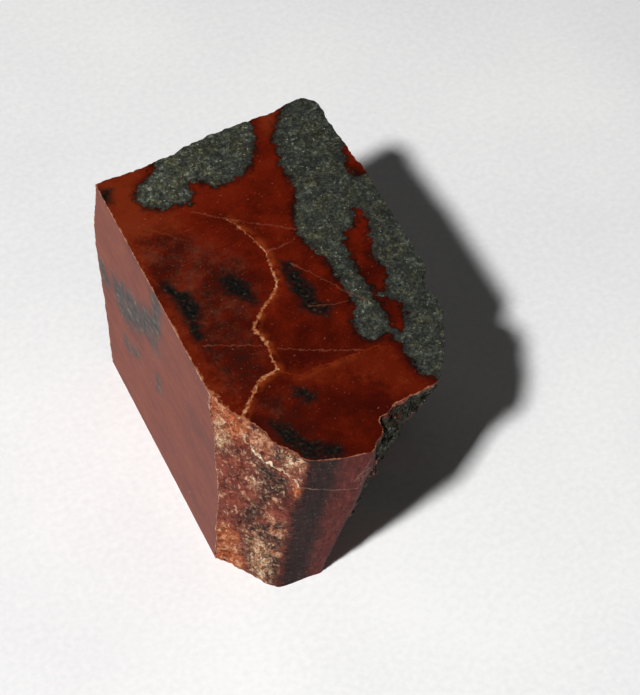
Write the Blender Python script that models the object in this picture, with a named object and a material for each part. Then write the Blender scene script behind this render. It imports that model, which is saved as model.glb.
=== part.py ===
"""A block of red jasper: a slab sawn from rough stone, with a flat polished top.

Seen from above, the left and right sides are parallel saw cuts. The back and the two
front corners are natural breaks, and a smooth face closes the front. The right front
leans in towards the foot. Lengths are in millimetres until the mesh is done, which is
in metres with +Z up.
"""
from math import floor

import bmesh
import bpy
from mathutils import Vector, noise

MM = 0.001

# Driving sizes of the block.
HEIGHT = 40.0
WIDTH = 33.4
LENGTH_LEFT = 36.7

# How finely the broken faces are divided, and how far their points stray.
COLUMN_STEP = 1.25
COURSES = 32
STRAY_SIDEWAYS = 0.35
STRAY_UPWARDS = 0.35

# Sizes of the features on a broken face.
LUMP_SIZE = 12.0
LEDGE_SIZE = 15.0
LEDGE_STEPS = 4
SCOOP_SIZE = 6.0
GRAIN_SIZE = 2.2
# The relief is calmer just below the top, which is ground flat.
RIM_CALM = 0.12
RIM_DEPTH = 3.0

STONE_COLOUR = (0.23, 0.045, 0.022, 1.0)
STONE_ROUGHNESS = 0.45


class Rib:
    """One line up the side of the stone.

    top and foot are its ends as (x, y). rough is the depth of the break's relief there.
    swell lists (height, distance) pairs: how far the line stands out of the straight
    one between its ends. out is the way it stands out, where a saw cut fixes that.
    """

    def __init__(self, name, top, foot, rough, swell=(), out=None):
        self.name = name
        self.top = Vector(top)
        self.foot = Vector(foot)
        self.rough = rough
        self.swell = [(0.0, 0.0), *swell, (HEIGHT, 0.0)]
        self.out = Vector(out) if out else None

    def stands_out(self, height):
        """Distance out of the straight line at a height, eased between the pairs."""
        for (low, near), (high, far) in zip(self.swell, self.swell[1:]):
            if height <= high:
                return near + (far - near) * eased((height - low) / (high - low))
        return 0.0


def eased(share):
    """A share from 0 to 1 that starts and ends gently."""
    share = min(max(share, 0.0), 1.0)
    return share * share * (3 - 2 * share)


# The ribs in order round the stone, anticlockwise from above.
RIBS = [
    Rib("left_back", (0, LENGTH_LEFT), (0, 36.8), 0.5, [(20, 1.1)], out=(0, 1)),
    Rib("left_front", (0, 0), (0, 0), 0.3, [(7, 0.8), (20, 2.4), (30, 1.9)], out=(0, -1)),
    Rib("front_notch", (2.6, -6.2), (2.4, -3.2), 0.4, [(20, 1.0), (33, 1.3)]),
    Rib("front_ledge", (4.6, -12.1), (4.2, -5.7), 0.4, [(20, 0.5), (35, 0.6)]),
    Rib("facet_left", (6.8, -15.4), (5.6, -7.4), 0.12, [(14, -0.3), (26, 0.3)]),
    Rib("facet_middle", (10.5, -16.8), (9.0, -8.0), 0.06),
    Rib("facet_right", (14.6, -17.6), (12.2, -8.4), 0.12, [(36, 0.3)]),
    Rib("nose", (17.2, -15.2), (14.2, -6.0), 0.4, [(28, 0.8), (36, 1.5)]),
    Rib("nose_chip", (19.0, -12.7), (16.8, -3.6), 0.6, [(16, 0.4), (28, 1.4), (36, 2.6)]),
    Rib("shoulder", (23.2, -11.7), (20.4, -0.4), 0.6, [(28, 1.3), (36, 2.0)]),
    Rib("right_front", (26.2, -11.0), (24.2, 2.4), 0.5, [(16, -0.2), (34, 0.6)]),
    Rib("bulge_front", (29.7, -6.6), (28.0, 5.4), 0.8, [(30, 1.0)]),
    Rib("bulge_back", (31.9, -2.6), (31.0, 8.6), 0.6, [(28, 1.2)]),
    Rib("cut_notch", (32.2, 2.8), (32.5, 10.6), 0.5, [(28, 0.6)]),
    Rib("cut_front", (WIDTH, 6.4), (WIDTH, 12.2), 0.4, [(24, 0.8)], out=(0, -1)),
    Rib("cut_back", (WIDTH, 25.0), (WIDTH, 31.0), 0.2, [(15, 0.7)], out=(0, 1)),
    Rib("cut_chip", (32.9, 31.0), (33.0, 33.0), 0.3),
    Rib("back_corner", (32.8, 37.5), (32.0, 35.4), 0.5, [(22, 0.5)]),
    Rib("back_right", (31.1, 39.0), (30.2, 36.6), 1.2, [(12, 0.2), (24, 0.9)]),
    Rib("back_high", (21.9, 38.3), (21.0, 36.4), 1.7, [(10, -0.5), (22, 1.6)]),
    Rib("back_step", (12.8, 37.5), (13.0, 36.8), 1.7, [(12, 1.6), (27, 0.2)]),
    Rib("back_dip", (7.2, 36.6), (7.0, 36.4), 1.3, [(26, 1.5)]),
]
# A flat saw cut starts at each of these ribs and ends at the next one.
SAWN_FROM = ("left_back", "cut_front")


def clear_scene():
    """Starts from an empty scene."""
    for thing in list(bpy.data.objects):
        bpy.data.objects.remove(thing, do_unlink=True)


def way_out(index):
    """The level direction in which a rib stands out of the stone."""
    rib = RIBS[index]
    if rib.out:
        return rib.out
    run = RIBS[(index + 1) % len(RIBS)].top - RIBS[index - 1].top
    return Vector((run.y, -run.x)).normalized()


def ledges(place):
    """Flat treads with steep risers between them, from about -1 to 1."""
    level = LEDGE_STEPS * noise.fractal(place / LEDGE_SIZE, 1.0, 2.0, 2)
    tread = floor(level)
    return (tread + eased((level - tread - 0.3) / 0.4)) / LEDGE_STEPS


def relief(place):
    """How far a break stands out at a place, from about -1 to 1."""
    lumps = noise.fractal(place / LUMP_SIZE, 0.9, 2.0, 3)
    nearest = noise.voronoi(place / SCOOP_SIZE)[0][0]
    scoops = 1.5 * nearest * nearest - 0.5
    grain = noise.noise(place / GRAIN_SIZE)
    return 0.4 * lumps + 0.9 * ledges(place) + 0.5 * scoops + 0.25 * grain


def calm(height):
    """Share of the relief that is left at a height."""
    below_rim = min((HEIGHT - height) / RIM_DEPTH, 1.0)
    return RIM_CALM + (1 - RIM_CALM) * below_rim


def wall_point(left, right, share, height):
    """A point on the wall between two ribs, given as (rib, way out) pairs."""
    up = height / HEIGHT
    spot = Vector((0, 0))
    way = Vector((0, 0))
    rough = 0.0
    for (rib, rib_way), part in ((left, 1 - share), (right, share)):
        spot += part * (rib.foot.lerp(rib.top, up) + rib_way * rib.stands_out(height))
        way += part * rib_way
        rough += part * rib.rough
    place = Vector((spot.x, spot.y, height))
    spot += way.normalized() * rough * calm(height) * relief(place)
    return Vector((spot.x, spot.y, height))


def stray(place, size):
    """A seeded step, so that the facets of a break don't lie in a regular grid."""
    return size * noise.noise(place * 3.7)


def column(bm, left, right, share, loose):
    """One column of vertices up a wall. A loose one has its inner points moved."""
    width = (right[0].top - left[0].top).length
    course_height = HEIGHT / COURSES
    made = []
    for course in range(COURSES + 1):
        height = course * course_height
        across = share
        if loose and 0 < course < COURSES:
            seed = Vector((left[0].top.x + width * share, left[0].top.y, height))
            across += stray(seed, STRAY_SIDEWAYS * COLUMN_STEP) / width
            height += stray(seed.zyx, STRAY_UPWARDS * course_height)
        made.append(bm.verts.new(wall_point(left, right, across, height)))
    return made


def wall_columns(bm, index):
    """The columns of one wall, from its left rib up to but without its right one."""
    after = (index + 1) % len(RIBS)
    left = (RIBS[index], way_out(index))
    right = (RIBS[after], way_out(after))
    count = 1
    if RIBS[index].name not in SAWN_FROM:
        width = (right[0].top - left[0].top).length
        count = max(1, round(width / COLUMN_STEP))
    return [column(bm, left, right, i / count, i > 0) for i in range(count)]


def close_walls(bm, walls):
    """Faces between the columns: small ones on a break, one flat face on a saw cut."""
    for index, wall in enumerate(walls):
        row = wall + [walls[(index + 1) % len(walls)][0]]
        if RIBS[index].name in SAWN_FROM:
            bm.faces.new([row[0][0], *row[1], *reversed(row[0][1:])])
            continue
        for left, right in zip(row, row[1:]):
            for low in range(COURSES):
                high = low + 1
                bm.faces.new([left[low], right[low], right[high], left[high]])


def close_ends(bm, walls):
    """The polished top and the sawn foot."""
    ring = [made for wall in walls for made in wall]
    bm.faces.new([made[-1] for made in ring])
    bm.faces.new([made[0] for made in reversed(ring)])


def centre_on_foot(bm):
    """Puts the origin under the middle of the block, at the foot, and turns mm to m."""
    spots = [vert.co for vert in bm.verts]
    middle_x = (min(s.x for s in spots) + max(s.x for s in spots)) / 2
    middle_y = (min(s.y for s in spots) + max(s.y for s in spots)) / 2
    bmesh.ops.translate(bm, verts=bm.verts, vec=(-middle_x, -middle_y, 0))
    bmesh.ops.scale(bm, verts=bm.verts, vec=(MM, MM, MM))


def stone_material():
    """Deep red jasper."""
    material = bpy.data.materials.new("red_jasper")
    material.use_nodes = True
    shader = material.node_tree.nodes["Principled BSDF"]
    shader.inputs["Base Color"].default_value = STONE_COLOUR
    shader.inputs["Roughness"].default_value = STONE_ROUGHNESS
    shader.inputs["Metallic"].default_value = 0.0
    return material


def jasper_block():
    """The stone, as one closed mesh."""
    bm = bmesh.new()
    walls = [wall_columns(bm, index) for index in range(len(RIBS))]
    close_walls(bm, walls)
    close_ends(bm, walls)
    bmesh.ops.triangulate(bm, faces=bm.faces[:])
    centre_on_foot(bm)
    mesh = bpy.data.meshes.new("jasper_block")
    bm.to_mesh(mesh)
    bm.free()
    mesh.materials.append(stone_material())
    block = bpy.data.objects.new("jasper_block", mesh)
    bpy.context.scene.collection.objects.link(block)


clear_scene()
jasper_block()
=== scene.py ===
# %% [markdown]
# # A block of red jasper, sawn and polished on top
#
# Jasper is quartz in crystals too small to see, coloured red by iron oxide. This block was
# sawn from a rough stone. The top is polished, the left and right sides are plain saw cuts,
# and the back and the front corners are natural breaks.
#
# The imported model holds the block's true size and main form. Here the same block gets its
# fine surface and its colours, so the first step is to load that model and keep its box.

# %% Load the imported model
import math

import bpy
import numpy as np
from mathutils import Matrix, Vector, kdtree, noise


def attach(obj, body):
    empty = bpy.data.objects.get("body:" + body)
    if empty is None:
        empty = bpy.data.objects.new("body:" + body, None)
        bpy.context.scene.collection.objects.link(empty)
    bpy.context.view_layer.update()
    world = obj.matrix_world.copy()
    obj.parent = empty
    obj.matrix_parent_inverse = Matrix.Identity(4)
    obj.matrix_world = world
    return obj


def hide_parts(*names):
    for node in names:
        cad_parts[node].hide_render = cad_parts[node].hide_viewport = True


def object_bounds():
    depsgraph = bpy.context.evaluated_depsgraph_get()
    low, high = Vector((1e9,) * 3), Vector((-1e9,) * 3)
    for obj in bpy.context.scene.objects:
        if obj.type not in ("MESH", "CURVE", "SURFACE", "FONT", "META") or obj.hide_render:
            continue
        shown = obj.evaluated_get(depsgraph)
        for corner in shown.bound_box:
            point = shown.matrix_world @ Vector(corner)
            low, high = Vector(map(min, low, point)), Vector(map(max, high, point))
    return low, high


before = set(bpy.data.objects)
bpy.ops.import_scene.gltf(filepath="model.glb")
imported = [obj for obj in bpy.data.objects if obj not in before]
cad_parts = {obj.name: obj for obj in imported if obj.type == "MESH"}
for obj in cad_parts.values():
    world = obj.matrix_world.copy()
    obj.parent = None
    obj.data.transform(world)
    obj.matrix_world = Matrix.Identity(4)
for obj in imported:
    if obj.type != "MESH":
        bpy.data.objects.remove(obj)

cad_low, cad_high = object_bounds()
print("block, in mm:", [round(1000 * size, 1) for size in cad_high - cad_low])

# %% [markdown]
# ## Measuring on the stone
#
# All places on the stone are given in millimetres from its left front corner, where the left
# saw cut meets the front: x to the right along the table, y to the back and z up from the
# table. That corner is easy to find on the real block and in the model: the cut is the
# model's lowest x, and the front reaches a known distance nearer to us than the corner.

# %% Where the left front corner is
MM = 0.001
NOSE_REACH = 17.6
HEIGHT = 1000 * cad_high.z
CORNER = Vector((1000 * cad_low.x, 1000 * cad_low.y + NOSE_REACH, 0.0))


def on_stone(x, y, z):
    """A place given from the left front corner in mm, as a place in the scene."""
    return (CORNER + Vector((x, y, z))) * MM


print("left front corner, in mm:", [round(value, 2) for value in CORNER])

# %% [markdown]
# ## The camera
#
# The stone was photographed from above its left front corner. A long lens keeps the sides
# nearly parallel. The camera is placed by the point it looks at, the two angles from which it
# looks and its distance, because those are easy to check against a photograph.

# %% Place the camera
LOOK_AT = Vector((5.2, 2.0, 20.0)) * MM
CAMERA_DISTANCE = 339.2 * MM
CAMERA_TO_THE_LEFT = math.radians(25.54)
CAMERA_ABOVE = math.radians(53.3)
CAMERA_TILT = math.radians(0.4)
LENS = 129.5


def direction(left, above):
    """The level-and-up direction in which something stands, seen from the stone."""
    level = math.cos(above)
    return Vector((-math.sin(left) * level, -math.cos(left) * level, math.sin(above)))


to_camera = direction(CAMERA_TO_THE_LEFT, CAMERA_ABOVE)
camera_data = bpy.data.cameras.new("camera")
camera_data.lens = LENS
camera = bpy.data.objects.new("camera", camera_data)
camera.location = LOOK_AT + CAMERA_DISTANCE * to_camera
camera.rotation_euler = (-to_camera).to_track_quat("-Z", "Y").to_euler()
camera.rotation_euler.rotate_axis("Z", CAMERA_TILT)
bpy.context.scene.collection.objects.link(camera)
bpy.context.scene.camera = camera
print("camera at, in mm:", [round(1000 * value, 1) for value in camera.location])

# %% [markdown]
# ## Floor and light
#
# The floor is matt white paper. The main light is a soft box to the left of the camera, which
# rakes over the left and front faces and shows their grain. Two weak, low lights keep
# the right and back faces readable. They stay low on purpose: a polished top reflects what is
# high behind it, and a bright light there would lay a grey veil over the deep red.

# %% Add the floor
FLOOR_SIZE = 4.0
bpy.ops.object.select_all(action="DESELECT")
bpy.ops.mesh.primitive_plane_add(size=FLOOR_SIZE)
floor = bpy.context.object
floor.name = "floor"
print("floor, in m:", list(floor.dimensions[:2]))


# %% Add the lights
def add_light(name, towards, distance, size, power):
    """A square soft box that shines at the stone."""
    data = bpy.data.lights.new(name, "AREA")
    data.size = size
    data.energy = power
    light = bpy.data.objects.new(name, data)
    light.location = towards.normalized() * distance
    light.rotation_euler = (-towards).to_track_quat("-Z", "Y").to_euler()
    bpy.context.scene.collection.objects.link(light)


add_light("key_light", Vector((-0.547, -0.403, 1.0)), 0.9, 0.06, 9.2)
add_light("right_fill", Vector((1.0, 0.15, 0.32)), 0.9, 0.5, 0.42)
add_light("back_fill", Vector((-0.2, 1.0, 0.28)), 0.9, 0.5, 0.42)

ROOM_LIGHT = 0.015
world = bpy.data.worlds.new("room")
world.use_nodes = True
room = world.node_tree.nodes["Background"].inputs
room["Color"].default_value = (1.0, 1.0, 1.0, 1.0)
room["Strength"].default_value = ROOM_LIGHT
bpy.context.scene.world = world
bpy.context.scene.view_settings.view_transform = "Standard"
print("lights:", [light.name for light in bpy.data.lights])

# %% [markdown]
# ## The rough stone
#
# The real block was a rough stone before it was sawn, and it is easiest to model the same
# way: first the rough stone with all its breaks, a little too big, and then the saw cuts.
# Then each rim comes out crisp and follows every bump of the break it belongs to.
#
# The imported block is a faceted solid. A copy of its mesh is the starting point, so size and
# place are right from the start. Its triangles are loose, so the copy is merged first: only
# then does it have shared edges that tools can work on.


# %% Copy and merge the block
def select_only(thing):
    """Deselects everything else, as a click on this object would."""
    bpy.ops.object.select_all(action="DESELECT")
    bpy.context.view_layer.objects.active = thing
    thing.select_set(True)


def apply_modifiers(thing):
    """Applies the object's modifiers in order."""
    select_only(thing)
    for modifier in list(thing.modifiers):
        bpy.ops.object.modifier_apply(modifier=modifier.name)


MERGE_DISTANCE = 0.001 * MM
stone = bpy.data.objects.new("jasper_stone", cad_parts["jasper_block"].data.copy())
bpy.context.scene.collection.objects.link(stone)
select_only(stone)
bpy.ops.object.mode_set(mode="EDIT")
bpy.ops.mesh.select_all(action="SELECT")
bpy.ops.mesh.remove_doubles(threshold=MERGE_DISTANCE)
bpy.ops.object.mode_set(mode="OBJECT")
print("merged block:", len(stone.data.vertices), "vertices")


# %% Read and select parts of a mesh
def read(items, field, width):
    """One value for each vertex or face, as rows of numbers."""
    values = np.empty(len(items) * width)
    items.foreach_get(field, values)
    return values.reshape(-1, width)


def places_of(items, field="co"):
    """Places of vertices or faces from the left front corner, in mm."""
    return read(items, field, 3) / MM - np.array(CORNER)


def move_to(thing, spots):
    """Moves an object's vertices to places given from the left front corner, in mm."""
    thing.data.vertices.foreach_set("co", ((spots + np.array(CORNER)) * MM).ravel())
    thing.data.update()


def select_parts(thing, kind, chosen):
    """Leaves the object in edit mode with the chosen edges or faces selected."""
    select_only(thing)
    bpy.ops.object.mode_set(mode="EDIT")
    bpy.ops.mesh.select_mode(type=kind)
    bpy.ops.mesh.select_all(action="DESELECT")
    bpy.ops.object.mode_set(mode="OBJECT")
    parts = thing.data.edges if kind == "EDGE" else thing.data.polygons
    parts.foreach_set("select", chosen)
    bpy.ops.object.mode_set(mode="EDIT")


# %% [markdown]
# ### Room for the saw
#
# Four sides are flat: the polished top, the sawn foot, and the saw cuts on the left and
# right. Their faces are pulled out by a little more than the relief's depth. A face belongs
# to a flat side when it lies in that side's plane and faces its way.

# %% Pull the flat sides out
IN_PLANE = 0.02
FACING = 0.99
WIDTH = 1000 * (cad_high.x - cad_low.x)
FLAT_SIDES = {
    "top": ((0, 0, HEIGHT), (0, 0, 1)),
    "foot": ((0, 0, 0), (0, 0, -1)),
    "left": ((0, 0, 0), (-1, 0, 0)),
    "right": ((WIDTH, 0, 0), (1, 0, 0)),
}
SAW_ROOM = 1.5


def off_plane(spots, side):
    """Distance to the plane of a flat side, in mm."""
    point, out = (np.array(value, float) for value in FLAT_SIDES[side])
    return np.abs((spots - point) @ out)


def on_flat(spots, outward, side):
    """Whether each spot lies in a flat side and faces its way."""
    out = np.array(FLAT_SIDES[side][1], float)
    return (off_plane(spots, side) < IN_PLANE) & (outward @ out > FACING)


for side, (point, out) in FLAT_SIDES.items():
    faces = stone.data.polygons
    select_parts(stone, "FACE", on_flat(places_of(faces, "center"), read(faces, "normal", 3), side))
    outwards = Vector(out) * SAW_ROOM * MM
    bpy.ops.mesh.extrude_region_move(TRANSFORM_OT_translate={"value": outwards})
    bpy.ops.object.mode_set(mode="OBJECT")
print("with room for the saw:", len(stone.data.polygons), "faces")

# %% [markdown]
# ### Chips
#
# Handling knocks flakes off a brittle rim. Jasper breaks like glass: each flake leaves
# a shallow shell-shaped scoop. Flattened balls are set half outside the rim and taken
# away with a Boolean.

# %% Cutters for the chips
# Each chip: the place of the ball's middle, and its half sizes along x, y and z.
CHIPS = [
    ((-0.5, 26.2, 40.3), (0.62, 1.5, 0.9)),
    ((-0.5, 23.0, 40.3), (0.62, 1.0, 0.8)),
    ((-0.5, 20.0, 40.3), (0.62, 1.4, 0.8)),
    ((-0.5, 16.6, 40.4), (0.62, 1.2, 0.9)),
    ((-0.6, 12.6, 40.3), (0.75, 1.1, 0.8)),
    ((-0.5, 7.4, 40.4), (0.62, 1.4, 0.9)),
    ((-0.4, 3.0, 40.3), (0.8, 1.5, 0.9)),
    ((-0.3, 0.6, 40.2), (0.8, 1.2, 1.0)),
    ((3.4, -11.1, 39.4), (0.9, 1.4, 1.7)),
    ((19.6, -12.8, 40.4), (1.0, 1.6, 1.0)),
    ((21.8, -12.5, 40.2), (1.0, 0.8, 1.0)),
    ((33.6, 3.6, 40.2), (1.6, 1.7, 2.2)),
]
CHIP_WARP = 0.05


def add_chip(middle, half_size, seed):
    """One ball, a little out of true, that knocks off a flake."""
    bpy.ops.object.select_all(action="DESELECT")
    bpy.ops.mesh.primitive_ico_sphere_add(subdivisions=3, radius=1.0, location=(0, 0, 0))
    bpy.ops.object.mode_set(mode="EDIT")
    bpy.ops.transform.vertex_random(offset=CHIP_WARP, seed=seed)
    bpy.ops.transform.resize(value=[size * MM for size in half_size])
    bpy.ops.transform.translate(value=on_stone(*middle))
    bpy.ops.object.mode_set(mode="OBJECT")
    return bpy.context.object


def cut(thing, tool, operation):
    """Cuts the object with a tool, and removes the tool."""
    boolean = thing.modifiers.new("cut", "BOOLEAN")
    boolean.object = tool
    boolean.operation = operation
    boolean.solver = "MANIFOLD"
    apply_modifiers(thing)
    bpy.data.objects.remove(tool)


flakes = [add_chip(middle, size, seed) for seed, (middle, size) in enumerate(CHIPS)]
select_only(flakes[0])
for flake in flakes:
    flake.select_set(True)
bpy.ops.object.join()
cut(stone, flakes[0], "DIFFERENCE")
print("chipped block:", len(stone.data.polygons), "faces")

# %% [markdown]
# ### A fine even mesh
#
# The relief needs vertices everywhere on the breaks. A voxel remesh lays an even net over
# the whole stone in one step. Its cells are a third of a millimetre, between two and three
# pixels of the picture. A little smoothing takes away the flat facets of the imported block,
# which the relief then replaces.

# %% Remesh the rough stone
NET = 0.35
SMOOTHING = 0.5
ROUNDS = 4
net = stone.modifiers.new("even_net", "REMESH")
net.mode = "VOXEL"
net.voxel_size = NET * MM
smoother = stone.modifiers.new("smooth_facets", "SMOOTH")
smoother.factor = SMOOTHING
smoother.iterations = ROUNDS
apply_modifiers(stone)
print("fine mesh:", len(stone.data.vertices), "vertices")

# %% [markdown]
# Smoothing also pares down the corners. Some places are fuller on the real stone: the left
# back edge, which swells out below the top, the front edge at the foot, and on the top the
# right front corner, the right bulge and the left front rim. They are pulled out one by one,
# most in the middle of the swelling and less all around it. The notch in the right rim,
# just behind the bulge, is deeper on the real stone, so it is pulled in.

# %% Pull the stone into shape
# Each pull: its middle, its reach along x, y and z, and the way it goes, in mm.
PULLS = [
    ((0.0, 37.5, 27.0), (9.0, 6.0, 13.0), (0.0, 1.5, 0.0)),
    ((0.0, 37.5, 4.0), (9.0, 6.0, 9.0), (0.0, 0.4, 0.0)),
    ((5.6, -7.4, 0.0), (5.0, 4.0, 9.0), (-0.1, -0.5, 0.0)),
    ((27.5, -9.5, 38.0), (8.0, 8.0, 14.0), (0.4, -0.6, 0.0)),
    ((32.3, -0.6, 40.0), (3.0, 3.6, 8.0), (0.5, 0.0, 0.0)),
    ((1.2, -4.8, 40.0), (3.6, 5.5, 7.0), (-0.6, -0.8, 0.0)),
    ((0.0, -0.8, 40.0), (2.6, 3.6, 6.0), (0.0, -1.2, 0.0)),
    ((33.0, 3.4, 40.0), (2.8, 2.5, 6.0), (-0.9, 0.0, 0.0)),
]


def pull(spots, middle, reach, way):
    """Moves the spots round the middle the given way, less and less up to the reach."""
    away = np.linalg.norm((spots - middle) / reach, axis=1)
    share = np.clip(1 - away**2, 0, 1) ** 2
    return spots + np.outer(share, way)


spots = places_of(stone.data.vertices)
for middle, reach, way in PULLS:
    spots = pull(spots, np.array(middle), np.array(reach), way)
move_to(stone, spots)
print("rough stone reaches back to y =", round(float(spots[:, 1].max()), 1), "mm")

# %% [markdown]
# The front is looked at most, so its cells are split once more. Only its rough left part
# needs that: the part to the right is a smooth facet, which starts at a slanting border.

# %% Split the cells of the front
# The facet's left border: how far it is from the corner at a height.
FACET_BORDER = [
    (9.8, 0.0), (11.0, 11.0), (12.1, 17.0), (13.3, 24.0), (14.8, 29.0), (15.8, 33.5), (16.6, 40.0),
]
# The front is left of the nose and nearer than the corner, give or take its relief.
FRONT_RIGHT = 15.5
FRONT_BACK = 0.5
FACING_US = 0.2
SPLIT_PAST = 1.0


def from_corner(spots):
    """Distance along the front from the left front corner, in mm."""
    return np.hypot(spots[:, 0], spots[:, 1])


def in_front(spots):
    """Whether each spot is in the front part of the stone, left of the nose."""
    return (spots[:, 0] < FRONT_RIGHT) & (spots[:, 1] < FRONT_BACK)


def on_front(spots, outward):
    """Whether each spot is in the front part and faces us."""
    return in_front(spots) & (outward[:, 1] < -FACING_US)


def past_border(spots):
    """How far each spot is past the facet's left border, in mm."""
    reach, height = np.array(FACET_BORDER).T
    return from_corner(spots) - np.interp(spots[:, 2], height, reach)


faces = stone.data.polygons
middles = places_of(faces, "center")
front = on_front(middles, read(faces, "normal", 3)) & (past_border(middles) < SPLIT_PAST)
select_parts(stone, "FACE", front)
bpy.ops.mesh.subdivide(number_cuts=1, smoothness=0.0)
bpy.ops.object.mode_set(mode="OBJECT")
print("front:", int(front.sum()), "cells split, now", len(stone.data.polygons), "faces in all")

# %% [markdown]
# ## The relief of the breaks
#
# A break in jasper shows shell-shaped scoops a few millimetres wide, small ledges, and
# a sugary grain where the quartz is coarser. Each comes from a Displace modifier with its
# own texture. A vertex group holds the relief back: full on the breaks, less close
# to the flat sides so that the stone keeps its outline, and hardly any on the facet.

# %% How deep the relief may go
RIM_WIDTH = 1.5
RIM_SHARE = 0.45
FACET_SHARE = 0.12
FACET_BLEND = 1.2


def eased(low, high, values):
    """0 below low and 1 above high, with a gentle step between them."""
    share = np.clip((values - low) / (high - low), 0, 1)
    return share * share * (3 - 2 * share)


spots = places_of(stone.data.vertices)
outward = read(stone.data.vertices, "normal", 3)
from_rim = np.min([off_plane(spots, side) for side in FLAT_SIDES], axis=0)
depth = RIM_SHARE + (1 - RIM_SHARE) * eased(0, RIM_WIDTH, from_rim)
smooth_share = eased(-FACET_BLEND, FACET_BLEND, past_border(spots)) * on_front(spots, outward)
depth *= 1 - (1 - FACET_SHARE) * smooth_share
group = stone.vertex_groups.new(name="relief")
for index, share in enumerate(depth):
    group.add([index], float(share), "REPLACE")
print("share of the relief: from", depth.min().round(2), "to", depth.max().round(2))


# %% Carve the relief
# Where a texture is brighter than this, the surface rises, and elsewhere it sinks.
LEVEL = 0.55


def carve(name, kind, size, amount, settings):
    """Digs a texture into the breaks. Its features' width is size and their depth amount, in mm."""
    texture = bpy.data.textures.new(name, kind)
    texture.noise_scale = size * MM
    for setting, value in settings.items():
        setattr(texture, setting, value)
    dig = stone.modifiers.new(name, "DISPLACE")
    dig.texture = texture
    dig.texture_coords = "LOCAL"
    dig.vertex_group = "relief"
    dig.strength = amount * MM
    dig.mid_level = LEVEL
    apply_modifiers(stone)
    print(name, "up to", amount, "mm deep")


carve("scoops", "VORONOI", 4.0, 1.0, {"noise_intensity": 1.0})
carve("ledges", "CLOUDS", 1.8, 0.9, {"noise_type": "HARD_NOISE", "noise_depth": 3})
carve("sugary_grain", "VORONOI", 0.9, 0.75, {"noise_intensity": 1.0})

# %% [markdown]
# ## The saw cuts
#
# Now the stone is sawn. The tool is a box as wide and high as the block and longer than
# it. What the box and the rough stone share is the finished form. The pattern of the
# minerals will be stored in the vertices, so the box's long sides get a fine grid first. In
# edit mode, subdividing opposite edges of a face rules it with lines from one to the other.

# %% The saw box and its grid
TOP_CELL = 0.36
CUT_CELL = 0.55
OVERHANG = 4.0
BOX_LENGTH = 1000 * (cad_high.y - cad_low.y) + OVERHANG
# An edge runs along an axis when at least this share of its length does.
MOSTLY = 0.9


def rule(box, along, side, cell):
    """Rules a side of the box: splits its edges along an axis into cells of that size."""
    ends = places_of(box.data.vertices)[read(box.data.edges, "vertices", 2).astype(int)]
    runs = np.abs(ends[:, 1] - ends[:, 0])
    chosen = runs[:, along] > MOSTLY * runs.sum(axis=1)
    if side:
        chosen &= off_plane(ends.mean(axis=1), side) < IN_PLANE
    length = runs[chosen].max(axis=0)[along]
    select_parts(box, "EDGE", chosen)
    bpy.ops.mesh.subdivide(number_cuts=round(length / cell) - 1)
    bpy.ops.object.mode_set(mode="OBJECT")


bpy.ops.object.select_all(action="DESELECT")
bpy.ops.mesh.primitive_cube_add(size=1.0, location=(0, 0, 0))
saw_box = bpy.context.object
bpy.ops.object.mode_set(mode="EDIT")
bpy.ops.transform.resize(value=Vector((WIDTH, BOX_LENGTH, HEIGHT)) * MM)
bpy.ops.transform.translate(value=(0, 0, HEIGHT / 2 * MM))
bpy.ops.object.mode_set(mode="OBJECT")
ALONG_X, ALONG_Y, ALONG_Z = 0, 1, 2
# One call makes at most a hundred cuts, so the length is halved first.
rule(saw_box, ALONG_Y, None, BOX_LENGTH / 2)
rule(saw_box, ALONG_Y, None, TOP_CELL)
rule(saw_box, ALONG_X, "top", TOP_CELL)
rule(saw_box, ALONG_Z, "left", CUT_CELL)
rule(saw_box, ALONG_Z, "right", CUT_CELL)
print("saw box:", len(saw_box.data.polygons), "faces")

# %% Saw the stone
cut(stone, saw_box, "INTERSECT")
low, high = (np.array(corner) / MM - np.array(CORNER) for corner in (cad_low, cad_high))
spots = np.clip(places_of(stone.data.vertices), low, high)
move_to(stone, spots)
print("sawn stone, in mm:", (spots.max(axis=0) - spots.min(axis=0)).round(2))

# %% Find the faces of each flat side
middles = places_of(stone.data.polygons, "center")
facing = read(stone.data.polygons, "normal", 3)
faces_of = {side: on_flat(middles, facing, side) for side in FLAT_SIDES}
print("faces:", {side: int(chosen.sum()) for side, chosen in faces_of.items()}, "of", len(middles))

# %% [markdown]
# ## Drawing the minerals
#
# The stone's pattern is mapped once: outlines of the green-grey matrix and of the dark
# patches, and lines for the veins that healed its cracks. Each vertex then keeps a
# distance in mm: how deep it lies inside an outline, or how far beside a line. A distance
# stays smooth from vertex to vertex, so a material can turn it into a border that is far
# sharper than the mesh, and roughen that border with noise.
#
# There are three drawing boards: the top (x, y), the left cut (y, z) and the front, where
# the first number is the distance from the left front corner. Minerals run down into
# the stone a little askew, so the other sides get the top's outlines, shifted with depth.

# %% The drawing boards
SLANT = np.array((0.20, -0.18))
WANDER_SIZE = 8.0
WANDER = 4.5
# The drift is drawn by chance, so its seed is set and it is the same in every run.
DRIFT_SEED = 1
noise.seed_set(DRIFT_SEED)

is_top = spots[:, 2] > HEIGHT - IN_PLANE
is_left = ~is_top & (spots[:, 0] < IN_PLANE)
is_front = ~is_top & ~is_left & in_front(spots)
is_other = ~(is_top | is_left | is_front)


def wander(spot):
    """A slow sideways drift in mm, which grows with depth below the top."""
    drift = noise.noise_vector(Vector(spot) / WANDER_SIZE)
    below = min((HEIGHT - spot[2]) / WANDER_SIZE, 1.0)
    return [WANDER * below * drift.x, WANDER * below * drift.y]


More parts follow.
